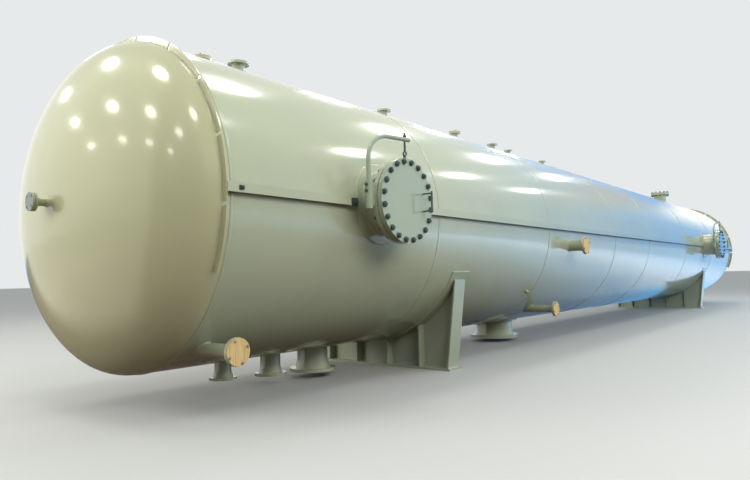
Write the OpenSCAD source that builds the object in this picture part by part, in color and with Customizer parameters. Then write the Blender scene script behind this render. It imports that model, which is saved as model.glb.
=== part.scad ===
// Horizontal pressure tank on two saddles, built from plate courses with ellipsoidal heads,
// two davit-hung side manways, flanged nozzles and support bars for its insulation.
// Origin: middle of the near saddle's base plate, on the ground. +X runs along the tank to the
// far head, -Y is the side with the manways, +Z is up.

/* [Shell] */
// Inside diameter of the shell
shell_id = 2896; // [2400:1:3600]
// Plate thickness of the shell and the heads
shell_wall = 22; // [16:1:40]
// Lengths of the seven shell courses, from the near head to the far head
course_len = [2850, 3000, 3050, 2250, 3400, 3200, 3150]; // [2100:50:3700]
// Straight cylindrical skirt of each head
head_skirt = 50; // [40:5:100]
// Depth of each head's dish, outside, beyond its skirt
head_depth = 665; // [600:5:735]
// Height of the tank's axis above the ground
axis_height = 1800; // [1760:10:2400]

/* [Saddles] */
// Distance from each head seam to the middle of its saddle
saddle_inset = 3500; // [3300:10:3900]
// Angle of shell that a saddle cradles
saddle_arc = 122; // [110:1:130]
// Length of a saddle's base plate, across the tank
saddle_base_len = 2440; // [2200:10:2600]
// Width of the base plate, along the tank
saddle_base_w = 300; // [260:10:400]
// Thickness of the base plate
saddle_base_t = 25; // [20:1:40]
// Width of the ribs and the end plates
rib_w = 230; // [180:10:280]
// Thickness of the web, the ribs and the end plates
saddle_plate_t = 20; // [12:1:30]
// Width of the wear plate between saddle and shell
wear_w = 380; // [300:10:480]
// Thickness of the wear plate
wear_t = 12; // [8:1:20]

/* [Manways] */
// Distance of the near manway from the near head seam
near_manway_at = 1815; // [1500:5:2200]
// Distance of the far manway from the near head seam
far_manway_at = 16900; // [16400:10:17100]
// Height of the manways above the tank's axis
manway_rise = 50; // [0:5:100]
// Distance from the shell's outside to the outer face of the near manway's cover
near_standoff = 320; // [300:5:450]
// The same for the far manway
far_standoff = 420; // [300:5:450]
// Outside radius of the reinforcing pads
pad_r = 390; // [380:5:480]
// Gap between the raised faces, which the gasket fills
gasket_gap = 5; // [5:1:8]
// Sideways distance from the manway's middle to the davit's axis
davit_offset = 455; // [450:5:520]
// Height of the davit's arm above the manway's middle
davit_rise = 594; // [560:2:640]
// Outside diameter of the davit's arm
davit_od = 42; // [38:1:48]

/* [Insulation supports] */
// How far the support bars stand off the shell
support_h = 56; // [40:1:75]
// Height of the support rings on the heads
ring_h = 50; // [40:1:90]
// Thickness of their flat and angle bar
support_t = 6; // [5:1:10]

/* [Hidden] */
$fn = 96;
shell_fn = 240;
e = 1;

shell_ri = shell_id / 2;
shell_ro = shell_ri + shell_wall;
course_count = len(course_len);
function seam_at(k) = k == 0 ? 0 : course_len[k - 1] + seam_at(k - 1);
tank_len = seam_at(course_count);
near_seam_x = -saddle_inset;
far_seam_x = near_seam_x + tank_len;
far_saddle_x = tank_len - 2 * saddle_inset;

// Class 150 flanges: pipe diameter, pipe wall, flange diameter, flange thickness, bolt circle,
// bolt holes, hole diameter, raised face diameter and hub length
size_2in = [60.3, 5.5, 152, 19, 120.7, 4, 19, 92, 42];
size_3in = [88.9, 7.6, 190, 24, 152.4, 4, 19, 127, 44];
size_4in = [114.3, 8.6, 229, 24, 190.5, 8, 19, 157, 50];
size_6in = [168.3, 11, 279, 25.4, 241.3, 8, 22.2, 216, 60];
size_8in = [219.1, 12.7, 343, 28.6, 298.5, 8, 22.2, 270, 70];
size_14in = [355.6, 12.7, 533, 35, 476.3, 12, 28.6, 413, 90];
size_24in = [610, 12.7, 813, 47.6, 749.3, 20, 34.9, 692, 104];
raised_face = 1.6;

// Nozzles by place: distance from the near head seam, then size, then face radius from the axis
top_list = [
    [780, size_3in, 130], [1245, size_4in, 205], [3780, size_3in, 200], [5650, size_3in, 200],
    [6930, size_3in, 210], [7550, size_2in, 190], [9080, size_2in, 190]
];
bottom_list = [[1010, size_6in, 190], [1640, size_8in, 230], [2290, size_14in, 260]];
sump_at = 6750;
sump_standoff = 270;
top_hatch_at = 18200;
top_hatch_standoff = 330;
side_at = 6680;
side_z = -240;
side_standoff = 235;
low_list = [190, 6410];
low_z = -1225;
low_face = 1280;
coupling_at = 5660;
coupling_angle = -39;
coupling_od = 57;
coupling_bore = 34;
coupling_h = 45;
head_nozzle_h = 130;
cover_t = 12;

// Places children so that their +Z is the tank's axis, starting at distance s from the near seam
module on_axis(s) {
    translate([near_seam_x + s, 0, axis_height]) rotate([0, 90, 0]) children();
}

// Places children with +Z pointing radially out of the axis at distance s from the near seam:
// clock angle 0 is the manway side, 90 the top and -90 the bottom; local X stays the tank's X
module radial(s, clock) {
    translate([near_seam_x + s, 0, axis_height]) rotate([90 - clock, 0, 0]) children();
}

// A long cylinder along the tank, used to trim what meets the shell
module bar_of_shell(r, s, half) {
    on_axis(s - half) cylinder(r = r, h = 2 * half, $fn = shell_fn);
}

// Flange turned about +Z: raised face at height z, hub and pipe below it, down to height z_in
module flanged_neck(size, z, z_in) {
    pipe_r = size[0] / 2;
    bore_r = pipe_r - size[1];
    hub_r = pipe_r + size[1] * 1.6;
    back = z - raised_face - size[3];
    difference() {
        rotate_extrude() polygon([
            [bore_r, z_in], [pipe_r, z_in], [pipe_r, back - size[8]], [hub_r, back],
            [size[2] / 2, back], [size[2] / 2, z - raised_face],
            [size[7] / 2, z - raised_face], [size[7] / 2, z], [bore_r, z]
        ]);
        bolt_holes(size, back - e, size[3] + 2 * e);
    }
}

// Bolt holes straddling the centre lines
module bolt_holes(size, z, h) {
    for (i = [0 : size[5] - 1])
        rotate([0, 0, (i + 0.5) * 360 / size[5]])
            translate([size[4] / 2, 0, z]) cylinder(d = size[6], h = h, $fn = 32);
}

// Blind flange whose raised face is at height z, with its body above it
module blind(size, z) {
    difference() {
        union() {
            translate([0, 0, z]) cylinder(d = size[7], h = raised_face + e);
            translate([0, 0, z + raised_face]) cylinder(d = size[2], h = size[3]);
        }
        bolt_holes(size, z + raised_face - e, size[3] + 2 * e);
    }
}

// Head: half an ellipsoid of revolution with a cylindrical skirt, opening towards -Z
head_steps = 30;
function quarter_ellipse(a, b) =
    [for (i = [0 : head_steps]) [a * cos(90 * i / head_steps), b * sin(90 * i / head_steps)]];

module head_dome(r, depth) {
    rotate_extrude($fn = shell_fn) polygon(concat(
        [[0, 0], [r, 0]],
        [for (p = quarter_ellipse(r, depth)) [p[0], head_skirt + p[1]]]
    ));
}

module head_shell() {
    difference() {
        head_dome(shell_ro, head_depth);
        head_cavity();
    }
}

// The hollow under the head keeps the plate's thickness at the crown
module head_cavity() {
    rotate_extrude($fn = shell_fn) polygon(concat(
        [[0, -e], [shell_ri, -e]],
        [for (p = quarter_ellipse(shell_ri, head_depth - shell_wall)) [p[0], head_skirt + p[1]]]
    ));
}

module near_head() {
    color("darkkhaki") difference() {
        on_axis(0) mirror([0, 0, 1]) head_shell();
        head_nozzle_place() translate([0, 0, -200]) cylinder(d = size_2in[0], h = 400);
    }
}

module far_head() {
    color("darkkhaki") on_axis(tank_len) head_shell();
}

module shell_course(k) {
    s = seam_at(k);
    far_s = seam_at(k + 1);
    color("darkseagreen") difference() {
        on_axis(s) difference() {
            cylinder(r = shell_ro, h = course_len[k], $fn = shell_fn);
            translate([0, 0, -e])
                cylinder(r = shell_ri, h = course_len[k] + 2 * e, $fn = shell_fn);
        }
        for (n = top_list) if (n[0] > s && n[0] < far_s) radial(n[0], 90) neck_hole(n[1]);
        for (n = bottom_list) if (n[0] > s && n[0] < far_s) radial(n[0], -90) neck_hole(n[1]);
        if (sump_at > s && sump_at < far_s) radial(sump_at, -90) neck_hole(size_24in);
        if (top_hatch_at > s && top_hatch_at < far_s)
            radial(top_hatch_at, 90) neck_hole(size_14in);
        for (m = [near_manway_at, far_manway_at])
            if (m > s && m < far_s) manway_place(m) neck_hole(size_24in);
        if (side_at > s && side_at < far_s) side_place() neck_hole(size_6in);
        for (m = low_list) if (m > s && m < far_s) low_place(m) low_hole();
        if (coupling_at > s && coupling_at < far_s)
            radial(coupling_at, coupling_angle) neck_hole([coupling_od]);
    }
}

// Hole for a neck in the shell
module neck_hole(size) {
    translate([0, 0, shell_ri - 250]) cylinder(d = size[0], h = 400);
}

module low_hole() {
    translate([0, 0, 300]) cylinder(d = size_4in[0], h = 800);
}

module manway_place(s) {
    translate([0, 0, manway_rise]) radial(s, 0) children();
}

module side_place() {
    translate([0, 0, side_z]) radial(side_at, 0) children();
}

module low_place(s) {
    translate([0, 0, low_z]) radial(s, 0) children();
}

// Steel saddle under the shell, at distance s from the near seam
wear_ro = shell_ro + wear_t;
horn_y = wear_ro * sin(saddle_arc / 2);
horn_z = axis_height - wear_ro * cos(saddle_arc / 2);
foot_y = saddle_base_len / 2 - 40;
rib_places = [-760, -260, 260, 760];
rib_stock_h = 700;
anchor_x = 115;
anchor_y = 1000;
anchor_d = 33;
slot_len = 70;

module wear_plate(s) {
    half_arc = saddle_arc / 2 + 4;
    far_out = 2 * shell_ro;
    color("darkseagreen") on_axis(s - wear_w / 2) linear_extrude(wear_w) intersection() {
        difference() {
            circle(r = wear_ro, $fn = shell_fn);
            circle(r = shell_ro, $fn = shell_fn);
        }
        polygon([
            [0, 0], [far_out * cos(half_arc), far_out * sin(half_arc)], [far_out, far_out],
            [far_out, -far_out], [far_out * cos(half_arc), -far_out * sin(half_arc)]
        ]);
    }
}

// Outline of the web in the Y-Z plane, inside the end plates, before the shell is cut from it
module web_outline() {
    inner_foot = foot_y - saddle_plate_t;
    polygon([
        [-inner_foot, saddle_base_t], [inner_foot, saddle_base_t],
        [horn_y, horn_z], [-horn_y, horn_z]
    ]);
}

module upright_plate(x, t) {
    translate([x - t / 2, 0, 0]) rotate([90, 0, 90]) linear_extrude(t) children();
}

module saddle_web(s) {
    x = near_seam_x + s;
    color("darkseagreen") difference() {
        upright_plate(x, saddle_plate_t) web_outline();
        bar_of_shell(wear_ro, s, 200);
    }
}

// Ribs on both sides of the web, and the leaning end plates that close the horns
module saddle_ribs(s) {
    x = near_seam_x + s;
    half_t = saddle_plate_t / 2;
    color("darkseagreen") difference() {
        union() {
            for (y = rib_places)
                for (rib_x = [-rib_w / 2, half_t]) translate([x + rib_x, y - half_t, saddle_base_t])
                    cube([rib_w / 2 - half_t, saddle_plate_t, rib_stock_h]);
            for (side = [-1, 1]) upright_plate(x, rib_w) polygon([
                [side * (foot_y - saddle_plate_t), saddle_base_t], [side * foot_y, saddle_base_t],
                [side * (horn_y + saddle_plate_t), horn_z], [side * horn_y, horn_z]
            ]);
        }
        bar_of_shell(wear_ro, s, 400);
    }
}

module base_plate(s) {
    x = near_seam_x + s;
    translate([x - saddle_base_w / 2, -saddle_base_len / 2, 0])
        cube([saddle_base_w, saddle_base_len, saddle_base_t]);
}

module near_saddle_base() {
    color("darkseagreen") difference() {
        base_plate(saddle_inset);
        for (x = [-anchor_x, anchor_x])
            for (y = [-anchor_y, anchor_y])
                translate([x, y, -e]) cylinder(d = anchor_d, h = saddle_base_t + 2 * e);
    }
}

// The far saddle slides on its bolts as the tank warms, so its holes are slots
module far_saddle_base() {
    half_slot = (slot_len - anchor_d) / 2;
    color("darkseagreen") difference() {
        base_plate(tank_len - saddle_inset);
        for (x = [-anchor_x + 15, anchor_x - 15])
            for (y = [-anchor_y, anchor_y]) translate([far_saddle_x + x, y, -e]) {
                for (end = [-half_slot, half_slot])
                    translate([end, 0, 0]) cylinder(d = anchor_d, h = saddle_base_t + 2 * e);
                translate([-half_slot, -anchor_d / 2, 0])
                    cube([2 * half_slot, anchor_d, saddle_base_t + 2 * e]);
            }
    }
}

// Insulation support rings on the heads, in segments with gaps, open at the bottom
ring_segments = 11;
ring_from = -24.5;
ring_span = 229;
ring_gap = 0.6;
ring_s = 82;

module support_ring(s) {
    step = ring_span / ring_segments;
    color("darkkhaki") for (i = [0 : ring_segments - 1])
        on_axis(s - support_t / 2) rotate([0, 0, -90 - ring_from - i * step - step + ring_gap])
            rotate_extrude(angle = step - 2 * ring_gap)
                translate([shell_ro - 10, 0]) square([ring_h + 10, support_t]);
}

module insulation_rings() {
    difference() {
        support_ring(-ring_s);
        on_axis(0) mirror([0, 0, 1]) head_dome(shell_ro, head_depth);
    }
    difference() {
        support_ring(tank_len + ring_s);
        on_axis(tank_len) head_dome(shell_ro, head_depth);
    }
}

// Insulation support angles along both sides: the top leg is welded to the shell
angle_leg = 75;
angle_top = 70;
front_angles = [
    [-ring_s + support_t / 2, near_manway_at - pad_r - 20],
    [near_manway_at + pad_r + 20, far_manway_at - pad_r - 20],
    [far_manway_at + pad_r + 20, tank_len + ring_s - support_t / 2]
];

module side_angle(from, to, side) {
    color("darkseagreen") difference() {
        mirror([0, side, 0]) translate([near_seam_x + from, 0, axis_height])
            rotate([90, 0, 90]) linear_extrude(to - from) polygon([
                [-shell_ro + 10, angle_top], [-shell_ro - support_h, angle_top],
                [-shell_ro - support_h, angle_top - angle_leg],
                [-shell_ro - support_h + support_t, angle_top - angle_leg],
                [-shell_ro - support_h + support_t, angle_top - support_t],
                [-shell_ro + 10, angle_top - support_t]
            ]);
        on_axis(from - e) cylinder(r = shell_ro, h = to - from + 2 * e, $fn = shell_fn);
    }
}

module insulation_angles() {
    for (a = front_angles) side_angle(a[0], a[1], 0);
    side_angle(front_angles[0][0], front_angles[2][1], 1);
}

// Reinforcing pad: a ring of plate that follows the shell round a neck
pad_t = 20;

module pad_blank(s) {
    bar_of_shell(shell_ro + pad_t, s, 600);
}

module reinforcing_pad(s) {
    difference() {
        intersection() {
            pad_blank(s);
            children();
        }
        bar_of_shell(shell_ro, s, 700);
    }
}

module pad_ring(size, r) {
    translate([0, 0, shell_ro - 200]) difference() {
        cylinder(r = r, h = 300);
        translate([0, 0, -e]) cylinder(d = size[0], h = 300 + 2 * e);
    }
}

// Heights above the tank's axis along a manway's own axis
function cover_face(s) = shell_ro + (s < tank_len / 2 ? near_standoff : far_standoff);
function cover_seat(s) = cover_face(s) - size_24in[3] - raised_face;
function flange_face(s) = cover_seat(s) - gasket_gap;
function flange_back(s) = flange_face(s) - raised_face - size_24in[3];
function neck_end(s) = flange_back(s) - size_24in[8] - 20;

module manway_neck(s) {
    bore = size_24in[0] - 2 * size_24in[1];
    color("darkseagreen") difference() {
        manway_place(s) difference() {
            translate([0, 0, shell_ri - 120])
                cylinder(d = size_24in[0], h = neck_end(s) - shell_ri + 120);
            translate([0, 0, shell_ri - 121]) cylinder(d = bore, h = neck_end(s) - shell_ri + 122);
        }
        bar_of_shell(shell_ri, s, 500);
    }
}

module manway_flange(s) {
    color("darkseagreen") manway_place(s) flanged_neck(size_24in, flange_face(s), neck_end(s));
}

// Davit: the sleeve stands beside the flange, and its axis lies in the plane of the flange's back
sleeve_od = 70;
sleeve_bore = 46;
sleeve_low = -96;
sleeve_high = 140;
bracket_t = 14;

module davit_place(s) {
    manway_place(s) translate([-davit_offset, 0, flange_back(s)]) rotate([-90, 0, 0])
        children();
}

// Seen from the davit's own frame, +Z is up and +X runs along the tank
module davit_sleeve(s) {
    color("darkseagreen") difference() {
        union() {
            davit_place(s) translate([0, 0, sleeve_low])
                cylinder(d = sleeve_od, h = sleeve_high - sleeve_low);
            manway_place(s) translate([-davit_offset, sleeve_low + 30, flange_back(s) + 8])
                cube([davit_offset - 300, sleeve_high - sleeve_low - 60, bracket_t]);
        }
        davit_place(s) translate([0, 0, sleeve_low - e])
            cylinder(d = sleeve_bore, h = sleeve_high - sleeve_low + 2 * e);
        manway_place(s) translate([0, 0, flange_back(s) - e])
            cylinder(d = size_24in[2], h = 100);
    }
}

// The arm rises from the sleeve, bends over and reaches past the middle of the cover
bend_r = 235;
cover_ahead = gasket_gap + 2 * raised_face + 1.5 * size_24in[3];
arm_reach = sqrt(pow(davit_offset, 2) + pow(cover_ahead, 2));
arm_turn = atan2(cover_ahead, davit_offset);
arm_past = 58;
arm_tail = sleeve_low + 15;
collar_gap = 1;
collar_od = 64;
collar_h = 16;
rod_d = 20;

module davit_arm(s) {
    color("darkseagreen") davit_place(s) rotate([0, 0, -arm_turn]) difference() {
        union() {
            translate([0, 0, arm_tail]) cylinder(d = davit_od, h = davit_rise - bend_r - arm_tail);
            translate([bend_r, 0, davit_rise - bend_r]) rotate([90, 0, 180])
                rotate_extrude(angle = 90) translate([bend_r, 0]) circle(d = davit_od);
            translate([bend_r, 0, davit_rise]) rotate([0, 90, 0])
                cylinder(d = davit_od, h = arm_reach + arm_past - bend_r);
            translate([0, 0, sleeve_high + collar_gap]) cylinder(d = collar_od, h = collar_h);
        }
        translate([arm_reach, 0, davit_rise - 50]) cylinder(d = rod_d, h = 100);
    }
}

// Eyebolt through the arm's end, with a nut on top and its eye round the cover's lug
eye_r = 24;
eye_bar = 16;
eye_z = size_24in[2] / 2 + 46;
nut_af = 34;

module eyebolt(s) {
    color("slategray") davit_place(s) rotate([0, 0, -arm_turn]) translate([arm_reach, 0, 0]) {
        translate([0, 0, eye_z + eye_r]) cylinder(d = rod_d, h = davit_rise - eye_z - eye_r + 62);
        translate([0, 0, davit_rise + davit_od / 2]) cylinder(d = nut_af, h = 18, $fn = 6);
        translate([0, 0, eye_z]) rotate([90, 0, arm_turn])
            rotate_extrude() translate([eye_r, 0]) circle(d = eye_bar);
    }
}

// Cover: a blind flange with a lug on its rim and a bar handle on its face
handle_x = 240;
handle_half = 85;
handle_out = 110;
handle_leg_d = 16;
handle_grip_d = 20;
lug_t = 14;

module manway_cover(s) {
    rim = size_24in[2] / 2;
    face = cover_face(s);
    color("darkseagreen") manway_place(s) {
        blind(size_24in, cover_seat(s));
        translate([-lug_t / 2, 0, face - size_24in[3] / 2]) rotate([0, 90, 0]) difference() {
            linear_extrude(lug_t) polygon([
                [-20, rim - 6], [20, rim - 6], [14, rim + 42], [-14, rim + 42]
            ]);
            translate([0, eye_z - eye_r, -e]) cylinder(d = eye_bar + 6, h = lug_t + 2 * e);
        }
        for (y = [-handle_half, handle_half])
            translate([handle_x, y, face - 2]) cylinder(d = handle_leg_d, h = handle_out + 2);
        translate([handle_x, -handle_half - handle_grip_d, face + handle_out])
            rotate([-90, 0, 0]) cylinder(d = handle_grip_d, h = 2 * (handle_half + handle_grip_d));
    }
}

// Hatch on the top, closed by a bolted cover
hatch_face = shell_ro + top_hatch_standoff;
hatch_pad_r = 270;

module top_hatch_nozzle() {
    color("steelblue") difference() {
        radial(top_hatch_at, 90) flanged_neck(size_14in, hatch_face, shell_ri - 80);
        bar_of_shell(shell_ri, top_hatch_at, 500);
    }
}

module top_hatch_cover() {
    color("steelblue") radial(top_hatch_at, 90) blind(size_14in, hatch_face);
}

module trimmed_neck(s, clock, size, standoff) {
    difference() {
        radial(s, clock) flanged_neck(size, shell_ro + standoff, shell_ri - 60);
        bar_of_shell(shell_ri, s, 500);
    }
}

module top_nozzles() {
    color("darkseagreen") for (n = top_list) trimmed_neck(n[0], 90, n[1], n[2]);
}

module bottom_nozzles() {
    color("darkslategray") for (n = bottom_list) trimmed_neck(n[0], -90, n[1], n[2]);
}

module sump_nozzle() {
    color("darkslategray") difference() {
        radial(sump_at, -90) flanged_neck(size_24in, shell_ro + sump_standoff, shell_ri - 120);
        bar_of_shell(shell_ri, sump_at, 500);
    }
}

module side_nozzle() {
    color("darkseagreen") difference() {
        side_place() flanged_neck(size_6in, shell_ro + side_standoff, shell_ri - 100);
        bar_of_shell(shell_ri, side_at, 400);
    }
}

// Level nozzles low on the side, with long necks that meet the shell at a slant
module low_nozzles() {
    color("darkseagreen") for (s = low_list) difference() {
        low_place(s) flanged_neck(size_4in, low_face, 500);
        bar_of_shell(shell_ri, s, 400);
    }
}

module head_nozzle_place() {
    translate([near_seam_x - head_skirt - head_depth, 0, axis_height]) rotate([0, -90, 0])
        children();
}

module head_nozzle() {
    color("darkseagreen") head_nozzle_place() {
        flanged_neck(size_2in, head_nozzle_h - size_2in[3], -shell_wall);
        blind(size_2in, head_nozzle_h - size_2in[3]);
    }
}

module coupling() {
    color("slategray") radial(coupling_at, coupling_angle) difference() {
        translate([0, 0, shell_ri + 2]) cylinder(d = coupling_od, h = shell_wall + coupling_h);
        translate([0, 0, shell_ri]) cylinder(d = coupling_bore, h = shell_wall + coupling_h + 10);
    }
}

// Plywood shipping covers on the open nozzles of the manway side and on two top nozzles
module ply_disc(size, z) {
    translate([0, 0, z]) cylinder(d = size[2] - 6, h = cover_t);
}

module nozzle_covers() {
    color("burlywood") {
        side_place() ply_disc(size_6in, shell_ro + side_standoff);
        for (s = low_list) low_place(s) ply_disc(size_4in, low_face);
        for (k = [0, 3]) radial(top_list[k][0], 90)
            ply_disc(top_list[k][1], shell_ro + top_list[k][2]);
    }
}

near_head();
shell_course(0);  // shell_course_1
shell_course(1);  // shell_course_2
shell_course(2);  // shell_course_3
shell_course(3);  // shell_course_4
shell_course(4);  // shell_course_5
shell_course(5);  // shell_course_6
shell_course(6);  // shell_course_7
far_head();
near_saddle_base();
saddle_web(saddle_inset);  // near_saddle_web
saddle_ribs(saddle_inset);  // near_saddle_ribs
wear_plate(saddle_inset);  // near_saddle_wear_plate
far_saddle_base();
saddle_web(tank_len - saddle_inset);  // far_saddle_web
saddle_ribs(tank_len - saddle_inset);  // far_saddle_ribs
wear_plate(tank_len - saddle_inset);  // far_saddle_wear_plate
insulation_rings();
insulation_angles();
color("darkseagreen") reinforcing_pad(near_manway_at)  // near_manway_pad
        manway_place(near_manway_at) pad_ring(size_24in, pad_r);
manway_neck(near_manway_at);  // near_manway_neck
manway_flange(near_manway_at);  // near_manway_flange
davit_sleeve(near_manway_at);  // near_davit_sleeve
manway_cover(near_manway_at);  // near_manway_cover
davit_arm(near_manway_at);  // near_davit_arm
eyebolt(near_manway_at);  // near_eyebolt
color("darkseagreen") reinforcing_pad(far_manway_at)  // far_manway_pad
        manway_place(far_manway_at) pad_ring(size_24in, pad_r);
manway_neck(far_manway_at);  // far_manway_neck
manway_flange(far_manway_at);  // far_manway_flange
davit_sleeve(far_manway_at);  // far_davit_sleeve
manway_cover(far_manway_at);  // far_manway_cover
davit_arm(far_manway_at);  // far_davit_arm
eyebolt(far_manway_at);  // far_eyebolt
color("steelblue") reinforcing_pad(top_hatch_at)  // top_hatch_pad
        radial(top_hatch_at, 90) pad_ring(size_14in, hatch_pad_r);
top_hatch_nozzle();
top_hatch_cover();
top_nozzles();
bottom_nozzles();
color("darkslategray") reinforcing_pad(sump_at)  // sump_pad
        radial(sump_at, -90) pad_ring(size_24in, pad_r);
sump_nozzle();
side_nozzle();
low_nozzles();
head_nozzle();
coupling();
nozzle_covers();
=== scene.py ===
"""Horizontal pressure tank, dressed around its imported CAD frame.

The CAD nodes keep their shapes. This script gives them enamel, steel and plywood, and adds what
the frame leaves out: weld beads, studs and nuts, gaskets, set bolts, clips and washers.
"""

import math

import bmesh
import bpy
from mathutils import Matrix, Vector


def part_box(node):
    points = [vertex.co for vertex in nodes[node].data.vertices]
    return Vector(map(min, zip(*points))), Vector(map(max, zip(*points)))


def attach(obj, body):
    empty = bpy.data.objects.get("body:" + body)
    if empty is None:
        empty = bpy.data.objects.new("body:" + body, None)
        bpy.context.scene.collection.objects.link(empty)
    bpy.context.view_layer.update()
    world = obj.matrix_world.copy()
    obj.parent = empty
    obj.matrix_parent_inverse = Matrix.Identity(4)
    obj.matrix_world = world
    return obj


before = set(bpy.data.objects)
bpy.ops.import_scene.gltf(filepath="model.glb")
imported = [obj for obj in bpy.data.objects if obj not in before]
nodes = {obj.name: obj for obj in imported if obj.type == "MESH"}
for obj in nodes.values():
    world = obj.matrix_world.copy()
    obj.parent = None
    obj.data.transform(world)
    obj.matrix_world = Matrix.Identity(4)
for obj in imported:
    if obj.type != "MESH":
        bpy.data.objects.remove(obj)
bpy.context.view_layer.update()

# Shell and heads: seven rolled courses of 22 mm plate between two dished heads, welded end to
# end, blasted and sprayed with a glossy sage-beige enamel.

course_names = ["shell_course_%d" % k for k in range(1, 8)]
shell_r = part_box("shell_course_5")[1].y
axis_z = (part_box("near_head")[0].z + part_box("near_head")[1].z) / 2
near_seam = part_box("near_head")[1].x
far_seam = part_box("far_head")[0].x
head_skirt = 0.05
head_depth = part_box("far_head")[1].x - far_seam - head_skirt
sharpest_curve = math.radians(28)


def add(tree, kind, inputs=None, **settings):
    """New node of that kind. inputs maps a socket's name or number to a value or an output."""
    made = tree.nodes.new(kind)
    for name, value in settings.items():
        setattr(made, name, value)
    for key, value in (inputs or {}).items():
        if isinstance(value, bpy.types.NodeSocket):
            tree.links.new(value, made.inputs[key])
        else:
            made.inputs[key].default_value = value
    return made


def new_group(name, kind, inputs, outputs):
    """Node group with named sockets, as its tree, its input node and its output node."""
    tree = bpy.data.node_groups.new(name, kind)
    for socket, value in inputs.items():
        kinds = {
            float: "NodeSocketFloat",
            int: "NodeSocketInt",
            tuple: "NodeSocketColor",
            str: "NodeSocket" + str(value),
        }
        made = tree.interface.new_socket(socket, in_out="INPUT", socket_type=kinds[type(value)])
        if not isinstance(value, str):
            made.default_value = value
    for socket, socket_kind in outputs.items():
        tree.interface.new_socket(
            socket, in_out="OUTPUT", socket_type="NodeSocket" + socket_kind
        )
    return tree, tree.nodes.new("NodeGroupInput"), tree.nodes.new("NodeGroupOutput")


def sum_of(tree, a, b, operation="ADD", clamp=False):
    """Output of one Math node on a and b, which are values or outputs."""
    return add(
        tree, "ShaderNodeMath", {0: a, 1: b}, operation=operation, use_clamp=clamp
    ).outputs[0]


def mixed(tree, share, a, b):
    """Colour that goes from a to b as share goes from 0 to 1."""
    return add(tree, "ShaderNodeMix", {0: share, 6: a, 7: b}, data_type="RGBA").outputs[2]


def ramp(tree, value, low, high):
    """0 up to low and 1 from high on, and even in between. low may be the larger of the two."""
    return add(
        tree, "ShaderNodeMapRange", {"Value": value, "From Min": low, "From Max": high}
    ).outputs[0]


def noise(tree, spot, scale, detail=2.0, rough=0.5):
    """Fac output of a noise texture."""
    made = add(
        tree,
        "ShaderNodeTexNoise",
        {"Vector": spot, "Scale": scale, "Detail": detail, "Roughness": rough},
    )
    return made.outputs["Fac"]


def sprayed_paint_group():
    """Enamel from a spray gun: slow clouds of colour, a film of dust on what faces up, orange
    peel, and the slow waves of rolled and welded plate."""
    tree, given, out = new_group(
        "sprayed paint",
        "ShaderNodeTree",
        {
            "Colour": (0.5, 0.5, 0.5, 1.0),
            "Cloud Colour": (0.4, 0.4, 0.4, 1.0),
            "Roughness": 0.2,
            "Dust": 0.4,
            "Peel": 0.00003,
            "Wave": 0.003,
        },
        {"Colour": "Color", "Roughness": "Float", "Normal": "Vector"},
    )
    dust_colour = (0.56, 0.54, 0.46, 1.0)
    place = tree.nodes.new("ShaderNodeTexCoord")
    spot = place.outputs["Object"]
    cloud = noise(tree, spot, 0.7, 4.0, 0.55)
    streaked = add(tree, "ShaderNodeMapping", {"Vector": spot, "Scale": (1.0, 1.0, 0.22)})
    mist = noise(tree, streaked.outputs[0], 7.0, 5.0, 0.6)
    soft = sum_of(
        tree,
        sum_of(tree, ramp(tree, cloud, 0.38, 0.64), 0.7, "MULTIPLY"),
        sum_of(tree, mist, 0.3, "MULTIPLY"),
    )
    sprayed = mixed(tree, soft, given.outputs["Colour"], given.outputs["Cloud Colour"])
    up = add(tree, "ShaderNodeSeparateXYZ", {0: place.outputs["Normal"]}).outputs["Z"]
    dust = sum_of(
        tree,
        ramp(tree, up, 0.55, 1.0),
        sum_of(tree, mist, given.outputs["Dust"], "MULTIPLY"),
        "MULTIPLY",
    )
    tree.links.new(mixed(tree, dust, sprayed, dust_colour), out.inputs["Colour"])
    patchy = sum_of(tree, sum_of(tree, cloud, 0.5, "SUBTRACT"), 0.18, "MULTIPLY")
    rough = sum_of(tree, given.outputs["Roughness"], patchy)
    rough = sum_of(tree, rough, sum_of(tree, dust, 0.5, "MULTIPLY"), clamp=True)
    tree.links.new(rough, out.inputs["Roughness"])
    waved = add(
        tree,
        "ShaderNodeBump",
        {"Height": noise(tree, spot, 1.3, 1.0), "Distance": given.outputs["Wave"]},
    )
    peeled = add(
        tree,
        "ShaderNodeBump",
        {
            "Height": noise(tree, spot, 190.0, 1.0),
            "Distance": given.outputs["Peel"],
            "Normal": waved.outputs[0],
        },
    )
    tree.links.new(peeled.outputs[0], out.inputs["Normal"])
    return tree


paint_group = sprayed_paint_group()


def surfaced(name, group, values):
    """New material with a shader group's outputs on its surface, and that surface's node."""
    made = bpy.data.materials.new(name)
    made.use_nodes = True
    tree = made.node_tree
    pattern = tree.nodes.new("ShaderNodeGroup")
    pattern.node_tree = group
    for socket, value in values.items():
        pattern.inputs[socket].default_value = value
    skin = tree.nodes["Principled BSDF"]
    for output in pattern.outputs:
        socket = {"Colour": "Base Color"}.get(output.name, output.name)
        tree.links.new(output, skin.inputs[socket])
    return made, skin


def enamel(name, colour, cloud_colour, roughness=0.19, wave=0.003, coat=0.7):
    """Material of sprayed enamel."""
    values = {
        "Colour": (*colour, 1.0),
        "Cloud Colour": (*cloud_colour, 1.0),
        "Roughness": roughness,
        "Wave": wave,
    }
    made, skin = surfaced(name, paint_group, values)
    skin.inputs["Coat Weight"].default_value = coat
    skin.inputs["Coat Roughness"].default_value = 0.08
    return made


# The heads, their insulation rings and the head nozzle's weld take a warmer, lighter copy of the
# shell's enamel: the warmer tone is painted warm light on one and the same enamel.
warm_lit_head_paint = enamel("head enamel", (0.44, 0.445, 0.28), (0.39, 0.40, 0.25))
shell_enamel = enamel("shell enamel", (0.40, 0.435, 0.31), (0.36, 0.395, 0.285))


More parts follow.
